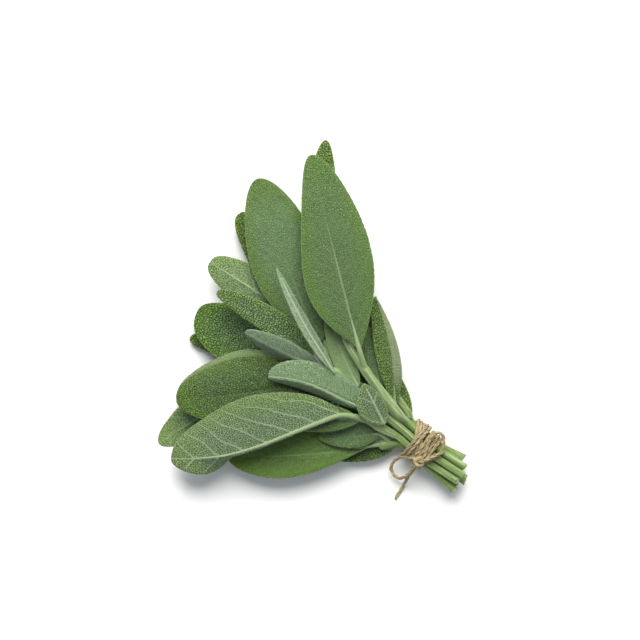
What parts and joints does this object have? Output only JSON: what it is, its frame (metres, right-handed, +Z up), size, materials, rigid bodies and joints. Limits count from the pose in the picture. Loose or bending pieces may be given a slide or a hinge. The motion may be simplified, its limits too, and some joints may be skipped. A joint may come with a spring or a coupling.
{
  "type": "bunch of sage",
  "caption": "Fresh sage stems with long soft grey-green leaves, lying in a fan and tied near their cut ends with rough twine in a bow",
  "frame": {"origin": "on the surface the bunch lies on, under the middle of its bounding box", "axes": "+Z up from the surface; +Y towards the tips of the tallest leaves; the cut ends point to +X and -Y"},
  "size_m": [0.124, 0.1436, 0.0291],
  "materials": {
    "sage": "matte",
    "twine": "matte"
  },
  "bodies": {
    "root": {"sprig_crown": "sage", "sprig_tall": "sage", "sprig_fan": "sage", "sprig_left": "sage", "sprig_dark": "sage", "sprig_front": "sage", "sprig_low": "sage", "sprig_right": "sage", "sprig_under": "sage", "twine_tie": "twine"}
  },
  "joints": []
}
